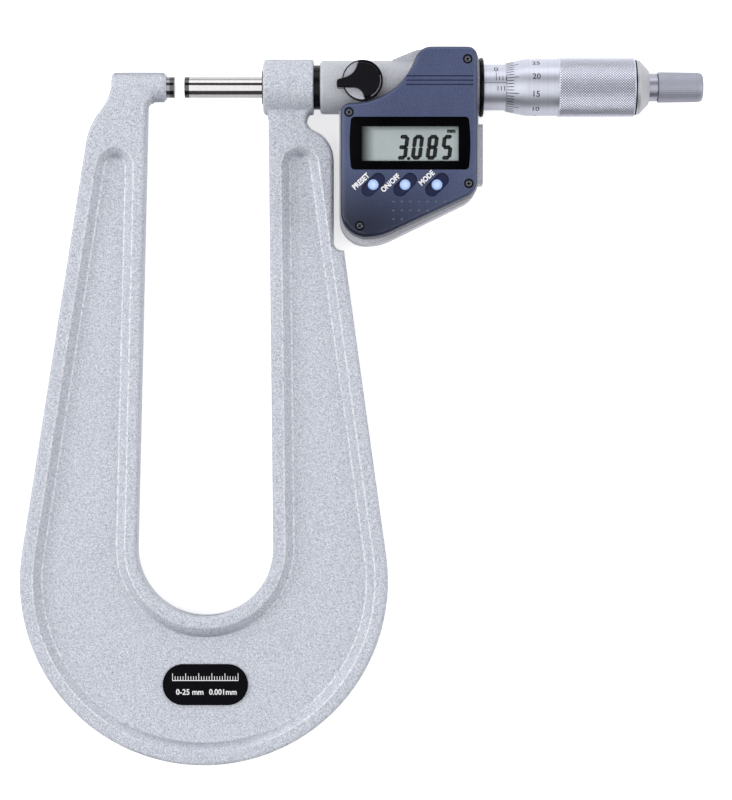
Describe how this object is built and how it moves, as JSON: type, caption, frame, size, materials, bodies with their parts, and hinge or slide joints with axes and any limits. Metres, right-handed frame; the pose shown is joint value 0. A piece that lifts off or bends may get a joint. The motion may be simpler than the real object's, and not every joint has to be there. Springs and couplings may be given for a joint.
{
  "type": "plate micrometer",
  "caption": "Digital plate micrometer with a deep U-shaped frame, fixed anvil, screw spindle, knurled thimble, ratchet stop and a display head with push buttons.",
  "frame": {"origin": "centre of the anvil's measuring face, on the spindle's axis", "axes": "+X along the spindle towards the thimble, +Y away from the throat, +Z out of the display"},
  "size_m": [0.2064, 0.2162, 0.0246],
  "materials": {
    "hammertone_paint": "hammered grey-blue enamel on the casting",
    "silver_casting": "fine-textured silver enamel",
    "ground_steel": "ground and lapped",
    "carbide": "dark lapped hard metal",
    "satin_chrome": "satin chrome plate",
    "cap_metal": "satin plate, slightly warm",
    "slate_plastic": "fine-grained slate blue moulding",
    "black_plastic": "smooth black moulding",
    "black_steel": "blackened steel",
    "window_plastic": "black printed window with a clear middle",
    "lcd_glass": "grey-green liquid crystal panel",
    "button_blue": "light blue moulding",
    "board_green": "printed circuit board",
    "black_rubber": "black rubber",
    "brass": "plain brass",
    "battery_steel": "stainless can",
    "plate_black": "black enamel with white print"
  },
  "bodies": {
    "frame": {"frame": "hammertone_paint", "anvil": "ground_steel", "anvil_tip": "carbide", "range_plate": "plate_black", "spindle_seal": "black_rubber", "mounting_ring": "black_steel", "head_body": "silver_casting", "front_cover": "slate_plastic", "cover_gasket": "black_rubber", "cover_screws": "black_steel", "display_window": "window_plastic", "lcd_panel": "lcd_glass", "circuit_board": "board_green", "button_pad": "black_rubber", "encoder_stator": "board_green", "end_collar": "black_plastic", "inner_sleeve": "ground_steel", "outer_sleeve": "satin_chrome", "taper_nut": "ground_steel", "battery": "battery_steel", "battery_contact": "brass", "battery_cover": "satin_chrome", "battery_seal": "black_rubber", "data_socket": "black_plastic", "socket_plate": "silver_casting", "socket_screws": "black_steel"},
    "rotor": {"encoder_rotor": "brass"},
    "spindle": {"spindle": "ground_steel", "spindle_tip": "carbide", "thimble": "satin_chrome", "thimble_cap": "cap_metal", "ratchet_neck": "satin_chrome", "ratchet_screw": "ground_steel"},
    "ratchet": {"ratchet_knob": "cap_metal", "knob_cap": "cap_metal", "ratchet_clutch": "ground_steel", "ratchet_spring": "ground_steel"},
    "clamp": {"clamp_lever": "black_plastic", "clamp_shaft": "ground_steel"},
    "preset_button": {"preset_button": "button_blue"},
    "power_button": {"power_button": "button_blue"},
    "mode_button": {"mode_button": "button_blue"}
  },
  "joints": [
    {"name": "thimble_turn", "type": "hinge", "parent": "frame", "child": "rotor", "pos_m": [0.07, 0, 0], "axis": [1, 0, 0], "range_deg": [-2222, 15780]},
    {"name": "spindle_travel", "type": "slide", "parent": "rotor", "child": "spindle", "axis": [1, 0, 0], "range_m": [-0.00309, 0.02192]},
    {"name": "ratchet_turn", "type": "hinge", "parent": "spindle", "child": "ratchet", "pos_m": [0.15, 0, 0], "axis": [1, 0, 0], "continuous": true},
    {"name": "clamp_swing", "type": "hinge", "parent": "frame", "child": "clamp", "pos_m": [0.0569, 0.00085, 0.009], "axis": [0, 0, 1], "range_deg": [-40, 0]},
    {"name": "preset_press", "type": "slide", "parent": "frame", "child": "preset_button", "axis": [0, 0, -1], "range_m": [0, 0.0005], "stiffness_N_per_m": 400},
    {"name": "power_press", "type": "slide", "parent": "frame", "child": "power_button", "axis": [0, 0, -1], "range_m": [0, 0.0005], "stiffness_N_per_m": 400},
    {"name": "mode_press", "type": "slide", "parent": "frame", "child": "mode_button", "axis": [0, 0, -1], "range_m": [0, 0.0005], "stiffness_N_per_m": 400}
  ],
  "couplings": [
    {"joint": "thimble_turn", "follows": "spindle_travel", "rad_per_m": 12566}
  ]
}
